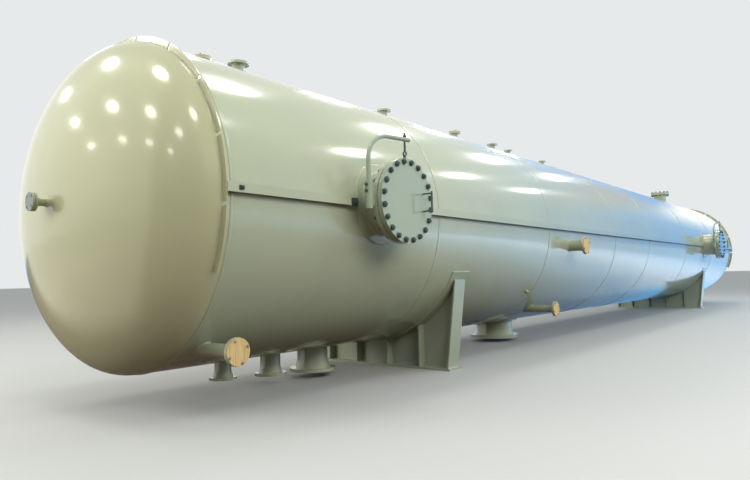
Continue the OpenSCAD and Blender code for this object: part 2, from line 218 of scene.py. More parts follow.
def shaded_by_angle(tree, given, merge_distance):
    """The given geometry with its loose triangles merged, and shaded smooth apart from the edges
    that are sharper than the given angle."""
    merged = add(
        tree,
        "GeometryNodeMergeByDistance",
        {"Geometry": given.outputs["Geometry"], "Distance": merge_distance},
    )
    angle = tree.nodes.new("GeometryNodeInputMeshEdgeAngle").outputs["Unsigned Angle"]
    soft = sum_of(tree, angle, given.outputs["Sharpest"], "LESS_THAN")
    smooth = add(tree, "GeometryNodeSetShadeSmooth", {"Geometry": merged.outputs[0]})
    edged = add(
        tree,
        "GeometryNodeSetShadeSmooth",
        {"Geometry": smooth.outputs[0], "Shade Smooth": soft},
        domain="EDGE",
    )
    return edged.outputs[0]


def plate_normals_tree():
    """Shades a plate and gives its curved faces the normals of the true surface: a cylinder
    about the tank's axis, or beyond a seam's skirt the ellipsoid of a head."""
    tree, given, out = new_group(
        "plate normals",
        "GeometryNodeTree",
        {
            "Geometry": "Geometry",
            "Axis Height": axis_z,
            "Near Crown Start": near_seam - head_skirt,
            "Far Crown Start": far_seam + head_skirt,
            "Dish": (shell_r / head_depth) ** 2,
            "Sharpest": sharpest_curve,
        },
        {"Geometry": "Geometry"},
    )
    edged = shaded_by_angle(tree, given, 0.00002)
    position = tree.nodes.new("GeometryNodeInputPosition").outputs[0]
    x, y, z = add(tree, "ShaderNodeSeparateXYZ", {0: position}).outputs
    before = sum_of(tree, x, given.outputs["Near Crown Start"], "SUBTRACT")
    past = sum_of(tree, x, given.outputs["Far Crown Start"], "SUBTRACT")
    beyond = sum_of(
        tree, sum_of(tree, before, 0.0, "MINIMUM"), sum_of(tree, past, 0.0, "MAXIMUM")
    )
    along = sum_of(tree, beyond, given.outputs["Dish"], "MULTIPLY")
    high = sum_of(tree, z, given.outputs["Axis Height"], "SUBTRACT")
    way = add(tree, "ShaderNodeCombineXYZ", {0: along, 1: y, 2: high}).outputs[0]
    radial = add(tree, "ShaderNodeVectorMath", {0: way}, operation="NORMALIZE").outputs[0]
    flat = tree.nodes.new("GeometryNodeInputNormal").outputs["True Normal"]
    agree = add(
        tree, "ShaderNodeVectorMath", {0: radial, 1: flat}, operation="DOT_PRODUCT"
    ).outputs["Value"]
    side = add(tree, "ShaderNodeMath", {0: agree}, operation="SIGN").outputs[0]
    facing = add(
        tree, "ShaderNodeVectorMath", {0: radial, "Scale": side}, operation="SCALE"
    ).outputs[0]
    size = add(tree, "ShaderNodeMath", {0: agree}, operation="ABSOLUTE").outputs[0]
    curved = sum_of(tree, size, 0.8, "GREATER_THAN")
    chosen = add(tree, "ShaderNodeMix", {0: curved, 4: flat, 5: facing}, data_type="VECTOR")
    shaded = add(
        tree, "GeometryNodeSetMeshNormal", {"Mesh": edged}, mode="FREE", domain="CORNER"
    )
    tree.links.new(chosen.outputs[1], shaded.inputs["Custom Normal"])
    tree.links.new(shaded.outputs[0], out.inputs["Geometry"])
    return tree


plate_normals = plate_normals_tree()


def finish_node(name, material, tree):
    """Gives a CAD node its material and the tree that smooths its shading."""
    cad = nodes[name]
    cad.data.materials.clear()
    cad.data.materials.append(material)
    cad.modifiers.new("shading", "NODES").node_group = tree


for name in ("near_head", "far_head"):
    finish_node(name, warm_lit_head_paint, plate_normals)
for name in course_names:
    finish_node(name, shell_enamel, plate_normals)

# Girth seams: eight butt welds round the shell, capped about 36 mm wide and 5 mm proud by an
# automatic welding head, then sprayed over with the plate.

seam_places = [near_seam] + [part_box(name)[1].x for name in course_names]
seam_half_width = 0.018
seam_cap = 0.005


def bead_tree():
    """Weld bead along each polyline of the host mesh. The host's points carry the bead's size
    and the way that it faces."""
    tree, given, out = new_group(
        "weld bead",
        "GeometryNodeTree",
        {
            "Geometry": "Geometry",
            "Pitch": 0.02,
            "Flatness": 1.0,
            "Unevenness": 0.1,
            "Seed": 1.0,
            "Paint": "Material",
        },
        {"Geometry": "Geometry"},
    )
    line = add(tree, "GeometryNodeMeshToCurve", {0: given.outputs["Geometry"]})
    even = add(tree, "GeometryNodeResampleCurve", {"Curve": line.outputs[0]}, mode="LENGTH")
    tree.links.new(given.outputs["Pitch"], even.inputs["Length"])
    way = add(
        tree, "GeometryNodeInputNamedAttribute", {"Name": "way"}, data_type="FLOAT_VECTOR"
    )
    faced = add(tree, "GeometryNodeSetCurveNormal", {"Curve": even.outputs[0]}, mode="FREE")
    tree.links.new(way.outputs[0], faced.inputs["Normal"])
    size = add(tree, "GeometryNodeInputNamedAttribute", {"Name": "size"}, data_type="FLOAT")
    ripple = add(
        tree,
        "ShaderNodeTexNoise",
        {
            "Vector": tree.nodes.new("GeometryNodeInputPosition").outputs[0],
            "W": given.outputs["Seed"],
            "Scale": 23.0,
            "Detail": 1.0,
        },
        noise_dimensions="4D",
    )
    swing = sum_of(tree, sum_of(tree, ripple.outputs[0], 0.5, "SUBTRACT"), 4.0, "MULTIPLY")
    swell = sum_of(tree, sum_of(tree, swing, given.outputs["Unevenness"], "MULTIPLY"), 1.0)
    circle = add(tree, "GeometryNodeCurvePrimitiveCircle", {"Resolution": 10, "Radius": 1.0})
    squeeze = add(tree, "ShaderNodeCombineXYZ", {0: given.outputs["Flatness"], 1: 1.0, 2: 1.0})
    profile = add(tree, "GeometryNodeTransform", {"Geometry": circle.outputs[0]})
    tree.links.new(squeeze.outputs[0], profile.inputs["Scale"])
    swept = add(
        tree,
        "GeometryNodeCurveToMesh",
        {
            "Curve": faced.outputs[0],
            "Profile Curve": profile.outputs[0],
            "Scale": sum_of(tree, size.outputs[0], swell, "MULTIPLY"),
            "Fill Caps": True,
        },
    )
    smooth = add(tree, "GeometryNodeSetShadeSmooth", {"Geometry": swept.outputs[0]})
    painted = add(tree, "GeometryNodeSetMaterial", {"Geometry": smooth.outputs[0]})
    tree.links.new(given.outputs["Paint"], painted.inputs["Material"])
    tree.links.new(painted.outputs[0], out.inputs["Geometry"])
    return tree


weld_bead = bead_tree()


def bead_host(name, beads):
    """Host mesh of a weld's path. Each bead is (points, ways, size, closed)."""
    points, ways, sizes, edges = [], [], [], []
    for line, facing, size, closed in beads:
        first = len(points)
        points += line
        ways += facing
        sizes += [size] * len(line)
        edges += [(first + k, first + k + 1) for k in range(len(line) - 1)]
        if closed:
            edges.append((len(points) - 1, first))
    host = bpy.data.meshes.new(name)
    host.from_pydata(points, edges, [])
    way = host.attributes.new("way", "FLOAT_VECTOR", "POINT")
    way.data.foreach_set("vector", [part for facing in ways for part in facing])
    host.attributes.new("size", "FLOAT", "POINT").data.foreach_set("value", sizes)
    return host


def grown(name, host, tree, values):
    """Runs a Geometry Nodes tree on a host mesh, and keeps the plain mesh that comes out."""
    maker = bpy.data.objects.new(name + "_maker", host)
    bpy.context.scene.collection.objects.link(maker)
    modifier = maker.modifiers.new("grow", "NODES")
    modifier.node_group = tree
    for socket in tree.interface.items_tree:
        if socket.in_out == "INPUT" and socket.name in values:
            modifier[socket.identifier] = values[socket.name]
    ready = maker.evaluated_get(bpy.context.evaluated_depsgraph_get())
    mesh = bpy.data.meshes.new_from_object(ready)
    bpy.data.objects.remove(maker)
    piece = bpy.data.objects.new(name, mesh)
    bpy.context.scene.collection.objects.link(piece)
    return piece


def weld(name, beads, paint, flatness=1.0, pitch=0.02):
    """Weld beads as one piece on the tank."""
    values = {
        "Pitch": pitch,
        "Flatness": flatness,
        "Unevenness": 0.06,
        "Seed": float(len(name)),
        "Paint": paint,
    }
    piece = grown(name, bead_host(name, beads), weld_bead, values)
    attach(piece, "root")


def girth(x, radius):
    """Points and outward ways of a circle round the tank's axis."""
    count = 200
    turns = [2 * math.pi * k / count for k in range(count)]
    ways = [Vector((0.0, math.cos(turn), math.sin(turn))) for turn in turns]
    return [Vector((x, 0.0, axis_z)) + radius * way for way in ways], ways


weld(
    "seam_welds",
    [(*girth(x, shell_r), seam_half_width, True) for x in seam_places],
    shell_enamel,
    flatness=seam_cap / seam_half_width,
    pitch=0.025,
)

# Saddles: a 12 mm wear plate that follows the shell, a 20 mm web with ribs and leaning end plates,
# and a base plate with anchor holes. All cut from plate, fillet welded and painted with the shell.

saddle_enamel = enamel("saddle enamel", (0.37, 0.41, 0.31), (0.33, 0.37, 0.28), 0.3, 0.001, 0.3)
fillet_leg = 0.007
web_bead_inset = 0.12
end_plate_inset = 0.04
end_plate_t = 0.02


def smooth_tree():
    """Shades a CAD node smooth, apart from its sharp edges."""
    tree, given, out = new_group(
        "smooth by angle",
        "GeometryNodeTree",
        {"Geometry": "Geometry", "Sharpest": sharpest_curve},
        {"Geometry": "Geometry"},
    )
    tree.links.new(shaded_by_angle(tree, given, 0.00001), out.inputs["Geometry"])
    return tree


smooth_shading = smooth_tree()


def arc(x, radius, low, high, count=60):
    """Points and outward ways of part of a circle round the tank's axis. The angles are in
    degrees from the manway side, with the top at 90."""
    turns = [math.radians(low + (high - low) * k / (count - 1)) for k in range(count)]
    ways = [Vector((0.0, -math.cos(turn), math.sin(turn))) for turn in turns]
    return [Vector((x, 0.0, axis_z)) + radius * way for way in ways], ways


def straight(start, end, way):
    """Points and ways of a straight bead."""
    return [Vector(start), Vector(end)], [Vector(way)] * 2


for end in ("near", "far"):
    for part in ("base", "web", "ribs", "wear_plate"):
        finish_node(end + "_saddle_" + part, saddle_enamel, smooth_shading)
    wear_low, wear_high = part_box(end + "_saddle_wear_plate")
    web_low, web_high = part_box(end + "_saddle_web")
    ribs_low, ribs_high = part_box(end + "_saddle_ribs")
    base_half, base_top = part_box(end + "_saddle_base")[1].yz
    wear_r = axis_z - wear_low.z
    wear_half = math.degrees(math.acos((axis_z - wear_high.z) / shell_r))
    web_half = math.degrees(math.acos((axis_z - web_high.z) / wear_r))
    beads = []
    for x in (wear_low.x, wear_high.x):
        beads.append((*arc(x, shell_r, -90 - wear_half, -90 + wear_half), fillet_leg, False))
    for turn in (-90 - wear_half, -90 + wear_half):
        corners, ways = arc(0.0, shell_r, turn, turn, 2)
        across = [Vector((x, corners[0].y, corners[0].z)) for x in (wear_low.x, wear_high.x)]
        beads.append((across, ways, fillet_leg, False))
    for x in (web_low.x, web_high.x):
        beads.append((*arc(x, wear_r, -90 - web_half, -90 + web_half), fillet_leg, False))
        reach = (web_low.y + web_bead_inset, web_high.y - web_bead_inset)
        foot = [(x, y, base_top) for y in reach]
        beads.append((*straight(*foot, (0, 0, 1)), fillet_leg, False))
    for side in (-1, 1):
        outer = side * (base_half - end_plate_inset)
        for y in (outer, outer - side * end_plate_t):
            foot = [(x, y, base_top) for x in (ribs_low.x, ribs_high.x)]
            beads.append((*straight(*foot, (0, 0, 1)), fillet_leg, False))
    weld(end + "_saddle_welds", beads, saddle_enamel)

# Insulation supports: segments of flat bar stand round each head as a ring, and a steel angle
# runs along each side at mid height. Short stitch welds hold them, under the same enamel.

stitch = 0.05
stitch_every = 0.26
stitch_leg = 0.006
stitch_free = 0.5
first_stitch = 0.05
last_stitch = 0.1
ring_t = 0.006
ring_start = -22
ring_sweep = 225

finish_node("insulation_rings", warm_lit_head_paint, smooth_shading)
finish_node("insulation_angles", shell_enamel, smooth_shading)

rings_low, rings_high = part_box("insulation_rings")
angle_low, angle_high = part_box("insulation_angles")
manway_places = [
    sum(corner.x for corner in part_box(end + "_manway_pad")) / 2 for end in ("near", "far")
]
beads = []
for x in (rings_low.x, rings_low.x + ring_t, rings_high.x, rings_high.x - ring_t):
    past_seam = abs(x - (near_seam + far_seam) / 2) - (far_seam - near_seam) / 2
    beyond = max(past_seam - head_skirt, 0)
    ring_r = shell_r * math.sqrt(1 - (beyond / head_depth) ** 2)
    step = math.degrees(stitch_every / ring_r)
    span = math.degrees(stitch / ring_r)
    for k in range(int(ring_sweep / step)):
        turn = ring_start + k * step
        beads.append((*arc(x, ring_r, turn, turn + span, 4), stitch_leg, False))
leg_z = angle_high.z
leg_y = math.sqrt(shell_r**2 - (leg_z - axis_z) ** 2)
for side in (-1, 1):
    x = near_seam + first_stitch
    while x < far_seam - last_stitch:
        clear = all(abs(x - place) > stitch_free for place in manway_places)
        if side > 0 or clear:
            ends = (x, side * leg_y, leg_z), (x + stitch, side * leg_y, leg_z)
            beads.append((*straight(*ends, (0, side, 0)), stitch_leg, False))
        x += stitch_every
weld("support_welds", beads, shell_enamel, pitch=0.012)

# Clips on the front angle: a small bolted plate near the head and a larger one beside the manway's
# pad, in dark coated steel that was left unpainted.

clip_t = 0.01
clip_edge = 0.0015
clip_nuts = {
    "nut_flats": 0.024,
    "nut_height": 0.012,
    "stud_diameter": 0.016,
    "overhang": 0.008,
    "depth": 0.012,
}


def worn_steel_group():
    """Coated steel: patches where the coat is worn pale and rough, and a fine grit."""
    tree, given, out = new_group(
        "worn steel",
        "ShaderNodeTree",
        {
            "Colour": (0.06, 0.06, 0.06, 1.0),
            "Worn Colour": (0.14, 0.14, 0.14, 1.0),
            "Roughness": 0.4,
            "Grit": 0.0003,
        },
        {"Colour": "Color", "Roughness": "Float", "Normal": "Vector"},
    )
    spot = tree.nodes.new("ShaderNodeTexCoord").outputs["Object"]
    patch = ramp(tree, noise(tree, spot, 45.0, 4.0, 0.65), 0.42, 0.68)
    tree.links.new(
        mixed(tree, patch, given.outputs["Colour"], given.outputs["Worn Colour"]),
        out.inputs["Colour"],
    )
    rough = sum_of(tree, sum_of(tree, patch, 0.18, "MULTIPLY"), given.outputs["Roughness"])
    tree.links.new(rough, out.inputs["Roughness"])
    grit = add(
        tree,
        "ShaderNodeBump",
        {"Height": noise(tree, spot, 700.0, 2.0), "Distance": given.outputs["Grit"]},
    )
    tree.links.new(grit.outputs[0], out.inputs["Normal"])
    return tree


steel_group = worn_steel_group()


def steel(name, colour, metal, roughness):
    """Material of a steel fitting."""
    worn = tuple(min(1.0, 1.9 * part + 0.02) for part in colour)
    values = {
        "Colour": (*colour, 1.0),
        "Worn Colour": (*worn, 1.0),
        "Roughness": roughness,
    }
    made, skin = surfaced(name, steel_group, values)
    skin.inputs["Metallic"].default_value = metal
    return made


stud_steel = steel("stud steel", (0.06, 0.085, 0.09), 0.5, 0.38)


def stud_end_tree():
    """One stud end with its nut at each point of the host mesh, facing the point's way, each
    turned by its own amount."""
    tree, given, out = new_group(
        "stud ends",
        "GeometryNodeTree",
        {
            "Geometry": "Geometry",
            "Nut Flats": 0.05,
            "Nut Height": 0.032,
            "Stud Diameter": 0.032,
            "Overhang": 0.012,
            "Depth": 0.03,
            "Seed": 1,
            "Steel": "Material",
        },
        {"Geometry": "Geometry"},
    )
    corner = sum_of(tree, given.outputs["Nut Flats"], 1 / math.sqrt(3), "MULTIPLY")
    body_h = sum_of(tree, given.outputs["Nut Height"], 0.84, "MULTIPLY")
    chamfer_h = sum_of(tree, given.outputs["Nut Height"], 0.16, "MULTIPLY")
    joined = tree.nodes.new("GeometryNodeJoinGeometry")

    def prism(sides, low_r, high_r, depth, lift):
        """Joins on a prism that stands on that lift and goes from one radius to the other."""
        cone = add(
            tree,
            "GeometryNodeMeshCone",
            {
                "Vertices": sides,
                "Radius Bottom": low_r,
                "Radius Top": high_r,
                "Depth": depth,
            },
        )
        move = add(tree, "ShaderNodeCombineXYZ", {2: lift})
        placed = add(tree, "GeometryNodeTransform", {"Geometry": cone.outputs[0]})
        tree.links.new(move.outputs[0], placed.inputs["Translation"])
        tree.links.new(placed.outputs[0], joined.inputs[0])

    prism(6, corner, corner, body_h, 0.0)
    prism(6, corner, sum_of(tree, corner, 0.86, "MULTIPLY"), chamfer_h, body_h)
    radius = sum_of(tree, given.outputs["Stud Diameter"], 0.5, "MULTIPLY")
    core = sum_of(tree, radius, 0.93, "MULTIPLY")
    buried = sum_of(tree, given.outputs["Depth"], -1.0, "MULTIPLY")
    shank = sum_of(tree, given.outputs["Depth"], given.outputs["Nut Height"])
    prism(8, core, core, shank, buried)
    ridge = sum_of(tree, given.outputs["Overhang"], 0.5, "MULTIPLY")
    for k in range(2):
        lift = sum_of(tree, given.outputs["Nut Height"], sum_of(tree, ridge, float(k), "MULTIPLY"))
        prism(8, radius, core, ridge, lift)

    way = add(
        tree, "GeometryNodeInputNamedAttribute", {"Name": "way"}, data_type="FLOAT_VECTOR"
    )
    aimed = add(tree, "FunctionNodeAlignRotationToVector", {"Vector": way.outputs[0]}, axis="Z")
    chance = add(
        tree,
        "FunctionNodeRandomValue",
        {2: 0.0, 3: math.pi / 3, "Seed": given.outputs["Seed"]},
        data_type="FLOAT",
    )
    spin = add(tree, "ShaderNodeCombineXYZ", {2: chance.outputs[1]})
    turned_nut = add(
        tree,
        "FunctionNodeRotateRotation",
        {"Rotation": aimed.outputs[0], "Rotate By": spin.outputs[0]},
        rotation_space="LOCAL",
    )
    placed = add(
        tree,
        "GeometryNodeInstanceOnPoints",
        {
            "Points": given.outputs["Geometry"],
            "Instance": joined.outputs[0],
            "Rotation": turned_nut.outputs[0],
        },
    )
    real = add(tree, "GeometryNodeRealizeInstances", {"Geometry": placed.outputs[0]})
    coated = add(tree, "GeometryNodeSetMaterial", {"Geometry": real.outputs[0]})
    tree.links.new(given.outputs["Steel"], coated.inputs["Material"])
    tree.links.new(coated.outputs[0], out.inputs["Geometry"])
    return tree


stud_ends = stud_end_tree()


def studs(name, places, way, body="root", **values):
    """Stud ends with nuts at these places, as one piece on a body. The values are the tree's
    inputs, with small letters and underscores in their names."""
    host = bpy.data.meshes.new(name)
    host.from_pydata([tuple(place) for place in places], [], [])
    facing = host.attributes.new("way", "FLOAT_VECTOR", "POINT")
    facing.data.foreach_set("vector", list(way) * len(places))
    inputs = {key.replace("_", " ").title(): value for key, value in values.items()}
    piece = grown(name, host, stud_ends, {"Seed": len(name), "Steel": stud_steel, **inputs})
    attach(piece, body)


def kept(name, bm, material):
    """Turns a bmesh into a piece on the tank, smooth but for its edges of 30 degrees and up."""
    bmesh.ops.recalc_face_normals(bm, faces=bm.faces)
    for face in bm.faces:
        face.smooth = True
    for edge in bm.edges:
        edge.smooth = edge.calc_face_angle(3.0) < math.radians(30)
    mesh = bpy.data.meshes.new(name)
    bm.to_mesh(mesh)
    bm.free()
    mesh.materials.append(material)
    piece = bpy.data.objects.new(name, mesh)
    bpy.context.scene.collection.objects.link(piece)
    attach(piece, "root")


# Each clip: place along the tank, half width, bottom, top, and its bolts in shares of the half.
clip_plates = (
    (-3.452, 0.022, 1.815, 1.85, (0.0,)),
    (-2.158, 0.042, 1.786, 1.862, (-0.5, 0.5)),
)
clips = bmesh.new()
clip_bolts = []
for x, half, low, high, shares in clip_plates:
    plate = bmesh.ops.create_cube(clips, size=1.0)["verts"]
    bmesh.ops.scale(clips, vec=(2 * half, clip_t, high - low), verts=plate)
    middle = (x, angle_low.y - clip_t / 2, (low + high) / 2)
    bmesh.ops.translate(clips, vec=middle, verts=plate)
    clip_bolts += [(x + share * half, angle_low.y - clip_t, middle[2]) for share in shares]
bmesh.ops.bevel(clips, geom=clips.edges[:], offset=clip_edge, segments=2, affect="EDGES")
kept("angle_clips", clips, stud_steel)
studs("angle_clip_bolts", clip_bolts, (0, -1, 0), **clip_nuts)

# Manways: a 24 inch neck through a reinforcing pad, a drilled flange with a ring gasket, and a
# blind cover on twenty studs that hangs from a davit. The arm turns in a sleeve welded beside the
# flange, two set bolts steady it, and the cover's eyebolt runs up through its end.

# The covers and davits take a cooler, glossier copy of the shell's enamel: the cooler tone is
# painted cool light.
cool_lit_cover_paint = enamel("cover enamel", (0.32, 0.385, 0.295), (0.295, 0.36, 0.275), 0.13, 0.0008)
# Colour of the covers' handles: painted shade.
handle_shade_colour = (0.075, 0.095, 0.09, 1.0)
manway_standoff = {"near": 0.32, "far": 0.42}
cover_t = 0.0492
flange_t = 0.0492
gasket_t = 0.005
gasket_inner_r = 0.311
gasket_outer_r = 0.3585
hub_length = 0.124
neck_r = 0.305
manway_bolt_circle_r = 0.37465
manway_studs = 20
manway_nuts = {"nut_flats": 0.049, "nut_height": 0.024, "stud_diameter": 0.0318, "depth": 0.0515}
pad_fillet = 0.012
neck_fillet = 0.015
neck_butt_weld = 0.005
neck_weld_sink = 0.002
handle_start = 0.003
sleeve_r = 0.035
set_bolt_rise = (0.063, 0.122)
set_bolts = {
    "nut_flats": 0.03,
    "nut_height": 0.02,
    "stud_diameter": 0.018,
    "overhang": 0.018,
    "depth": 0.008,
}


def rim(x, clock, offset, r, surface_r, count=72):
    """Points and ways of the line where a pipe or disc of radius r meets a cylinder round the
    tank's axis. Its own axis points out at that clock angle, offset sideways from the tank's."""
    turn = math.radians(clock)
    out_way = Vector((0.0, -math.cos(turn), math.sin(turn)))
    side_way = Vector((0.0, math.sin(turn), math.cos(turn)))
    points, ways = [], []
    for k in range(count):
        t = 2 * math.pi * k / count
        w = offset + r * math.sin(t)
        across = side_way * w + Vector((x + r * math.cos(t), 0.0, axis_z))
        points.append(across + out_way * math.sqrt(surface_r**2 - w**2))
        outward = side_way * math.sin(t) + Vector((math.cos(t), 0, 0))
        ways.append((out_way + outward).normalized())
    return points, ways


def facing_way(way):
    """Matrix that turns +Z to that way."""
    return Vector((0, 0, 1)).rotation_difference(Vector(way)).to_matrix()


def ring_line(centre, way, radius, count=72):
    """Points and outward ways of a circle about the line through centre along way."""
    spin = facing_way(way)
    turns = [2 * math.pi * k / count for k in range(count)]
    ways = [spin @ Vector((math.cos(turn), math.sin(turn), 0.0)) for turn in turns]
    return [Vector(centre) + radius * one for one in ways], ways


def bolt_places(centre, way, radius, count):
    """Places on a bolt circle that straddles the centre lines."""
    spin = facing_way(way)
    turns = [2 * math.pi * (k + 0.5) / count for k in range(count)]
    return [
        Vector(centre) + spin @ Vector((radius * math.cos(turn), radius * math.sin(turn), 0.0))
        for turn in turns
    ]


def turned(bm, profile, centre, way, sides):
    """Adds a ring to a bmesh, turned about the line through centre along way. The profile is a
    closed run of (radius, height) pairs, anticlockwise with the radius to the right."""
    spin = facing_way(way)
    rows = []
    for k in range(sides):
        turn = 2 * math.pi * k / sides
        row = [(radius * math.cos(turn), radius * math.sin(turn), up) for radius, up in profile]
        rows.append([bm.verts.new(Vector(centre) + spin @ Vector(spot)) for spot in row])
    for k in range(sides):
        low, high = rows[k], rows[(k + 1) % sides]
        for i in range(len(profile)):
            n = (i + 1) % len(profile)
            bm.faces.new((low[i], high[i], high[n], low[n]))


def lay_over(material, share, colour):
    """Puts another colour over a material's own, as far as share says."""
    tree = material.node_tree
    base = tree.nodes["Principled BSDF"].inputs["Base Color"]
    tree.links.new(mixed(tree, share, base.links[0].from_socket, colour), base)


def gripped(name, finish, reach):
    """Enamel whose handle, all that stands out past reach, is painted dark: painted shade on the
    grip and its legs.
    """
    made = finish.copy()
    made.name = name
    tree = made.node_tree
    spot = tree.nodes.new("ShaderNodeTexCoord").outputs["Object"]
    y = add(tree, "ShaderNodeSeparateXYZ", {0: spot}).outputs["Y"]
    lay_over(made, sum_of(tree, y, reach, "LESS_THAN"), handle_shade_colour)
    return made


gasket_steel = steel("gasket ring", (0.06, 0.065, 0.06), 0.5, 0.5)

for end, standoff in manway_standoff.items():
    pad_low, pad_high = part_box(end + "_manway_pad")
    x = (pad_low.x + pad_high.x) / 2
    z = (pad_low.z + pad_high.z) / 2
    pad_r = (pad_high.x - pad_low.x) / 2
    pad_t = -pad_low.y - shell_r
    rise = z - axis_z
    cover_y = -(shell_r + standoff)
    seat_y = cover_y + cover_t
    back_y = seat_y + gasket_t + flange_t
    neck_end = (x, back_y + hub_length, z)
    for part in ("pad", "neck", "flange"):
        finish_node(end + "_manway_" + part, shell_enamel, smooth_shading)
    for part in ("davit_arm", "davit_sleeve"):
        finish_node(end + "_" + part, cool_lit_cover_paint, smooth_shading)
    handle_shaded_cover_paint = gripped(end + " cover enamel", cool_lit_cover_paint, cover_y - handle_start)
    finish_node(end + "_manway_cover", handle_shaded_cover_paint, smooth_shading)
    finish_node(end + "_eyebolt", stud_steel, smooth_shading)
    weld(
        end + "_manway_welds",
        [
            (*rim(x, 0, rise, pad_r, shell_r), pad_fillet, True),
            (*rim(x, 0, rise, neck_r, shell_r + pad_t), neck_fillet, True),
            (*ring_line(neck_end, (0, -1, 0), neck_r - neck_weld_sink), neck_butt_weld, True),
        ],
        shell_enamel,
    )
    gasket = bmesh.new()
    half = gasket_t / 2
    section = [
        (gasket_inner_r, -half),
        (gasket_outer_r, -half),
        (gasket_outer_r, half),
        (gasket_inner_r, half),
    ]
    turned(gasket, section, (x, seat_y + half, z), (0, -1, 0), 96)
    kept(end + "_gasket", gasket, gasket_steel)
    studs(
        end + "_cover_studs",
        bolt_places((x, cover_y, z), (0, -1, 0), manway_bolt_circle_r, manway_studs),
        (0, -1, 0),
        end + "_cover",
        overhang=0.007,
        **manway_nuts,
    )
    studs(
        end + "_flange_studs",
        bolt_places((x, back_y, z), (0, -1, 0), manway_bolt_circle_r, manway_studs),
        (0, 1, 0),
        overhang=0.012,
        **manway_nuts,
    )
    sleeve_x = sum(corner.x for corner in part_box(end + "_davit_sleeve")) / 2
    set_places = [(sleeve_x - sleeve_r, back_y, z + up) for up in set_bolt_rise]
    studs(end + "_set_bolts", set_places, (-1, 0, 0), **set_bolts)

# Top hatch: a 14 inch nozzle through its own pad near the far end, shut by a blind cover on
# twelve studs.

hatch_low, hatch_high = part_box("top_hatch_cover")
hatch_pad_low, hatch_pad_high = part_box("top_hatch_pad")
hatch_x = (hatch_low.x + hatch_high.x) / 2
hatch_pad_r = (hatch_pad_high.x - hatch_pad_low.x) / 2
hatch_bolt_circle_r = 0.23815
hatch_studs = 12
hatch_neck_r = 0.1778
hatch_flange_t = 0.0366
hatch_pad_fillet = 0.01
hatch_neck_fillet = 0.011
hatch_nuts = {
    "nut_flats": 0.0413,
    "nut_height": 0.0255,
    "stud_diameter": 0.0254,
    "overhang": 0.011,
    "depth": 0.037,
}
for part in ("pad", "nozzle", "cover"):
    finish_node("top_hatch_" + part, shell_enamel, smooth_shading)
weld(
    "top_hatch_welds",
    [
        (*rim(hatch_x, 90, 0, hatch_pad_r, shell_r), hatch_pad_fillet, True),
        (
            *rim(hatch_x, 90, 0, hatch_neck_r, hatch_pad_high.z - axis_z),
            hatch_neck_fillet,
            True,
        ),
    ],
    shell_enamel,
)
for name, height, up in (
    ("top_hatch_studs", hatch_high.z, 1),
    ("top_hatch_stud_ends", hatch_low.z - hatch_flange_t, -1),
):
    places = bolt_places((hatch_x, 0, height), (0, 0, 1), hatch_bolt_circle_r, hatch_studs)
    studs(name, places, (0, 0, up), **hatch_nuts)

# Nozzles: weld-neck flanges on short pipes along the top and bottom, three on the manway side, a
# sump with its pad, a small one in the near head and a threaded coupling. Each pipe is fillet
# welded all round.

# Outside radius of each size of pipe, by its name in inches, and each pipe as its place along
# the tank, its height on the manway side, and its size.
pipe_r = {2: 0.03015, 3: 0.04445, 4: 0.05715, 6: 0.08415, 8: 0.10955, 14: 0.1778}
top_pipes = ((-2.72, 3), (-2.255, 4), (0.28, 3), (2.15, 3), (3.43, 3), (4.05, 2), (5.58, 2))
bottom_pipes = ((-2.49, 6), (-1.86, 8), (-1.21, 14))
side_pipe = (3.18, 1.56, 6)
low_pipes = ((-3.31, 0.575, 4), (2.91, 0.575, 4))
thin_fillet = 0.007
thick_fillet = 0.009
head_nozzle_fillet = 0.008
coupling_r = 0.0285
coupling_clock = -39

for part in ("top_nozzles", "bottom_nozzles", "side_nozzle", "low_nozzles", "coupling"):
    finish_node(part, shell_enamel, smooth_shading)
for part in ("sump_pad", "sump_nozzle"):
    finish_node(part, shell_enamel, smooth_shading)

beads = [
    (*rim(x, 90, 0, pipe_r[size], shell_r, 40), thin_fillet, True) for x, size in top_pipes
]
beads += [
    (*rim(x, -90, 0, pipe_r[size], shell_r, 48), thick_fillet, True) for x, size in bottom_pipes
]
beads += [
    (*rim(x, 0, z - axis_z, pipe_r[size], shell_r, 48), thick_fillet, True)
    for x, z, size in (side_pipe, *low_pipes)
]
sump_low, sump_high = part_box("sump_pad")
sump_x = (sump_low.x + sump_high.x) / 2
sump_pad_r = (sump_high.x - sump_low.x) / 2
beads.append((*rim(sump_x, -90, 0, sump_pad_r, shell_r), pad_fillet, True))
beads.append((*rim(sump_x, -90, 0, neck_r, axis_z - sump_low.z), neck_fillet, True))
coupling_x = sum(corner.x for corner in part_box("coupling")) / 2
beads.append((*rim(coupling_x, coupling_clock, 0, coupling_r, shell_r, 32), thin_fillet, True))
weld("nozzle_welds", beads, shell_enamel, pitch=0.014)


def faced_enamel(name, paint_colour, cloud_colour, bare_colour):
    """Enamel whose faces that look along -X are bare turned steel, as a gasket face is."""
    made = enamel(name, paint_colour, cloud_colour, 0.28, 0.001)
    tree = made.node_tree
    place = tree.nodes.new("ShaderNodeTexCoord")
    way = add(tree, "ShaderNodeSeparateXYZ", {0: place.outputs["Normal"]}).outputs["X"]
    bare = sum_of(tree, way, -0.95, "LESS_THAN")
    worn = ramp(tree, noise(tree, place.outputs["Object"], 60.0, 3.0), 0.35, 0.7)
    bright = tuple(1.4 * part for part in bare_colour)
    lay_over(made, bare, mixed(tree, worn, (*bare_colour, 1.0), (*bright, 1.0)))
    metallic = tree.nodes["Principled BSDF"].inputs["Metallic"]
    tree.links.new(sum_of(tree, bare, 0.6, "MULTIPLY"), metallic)
    return made


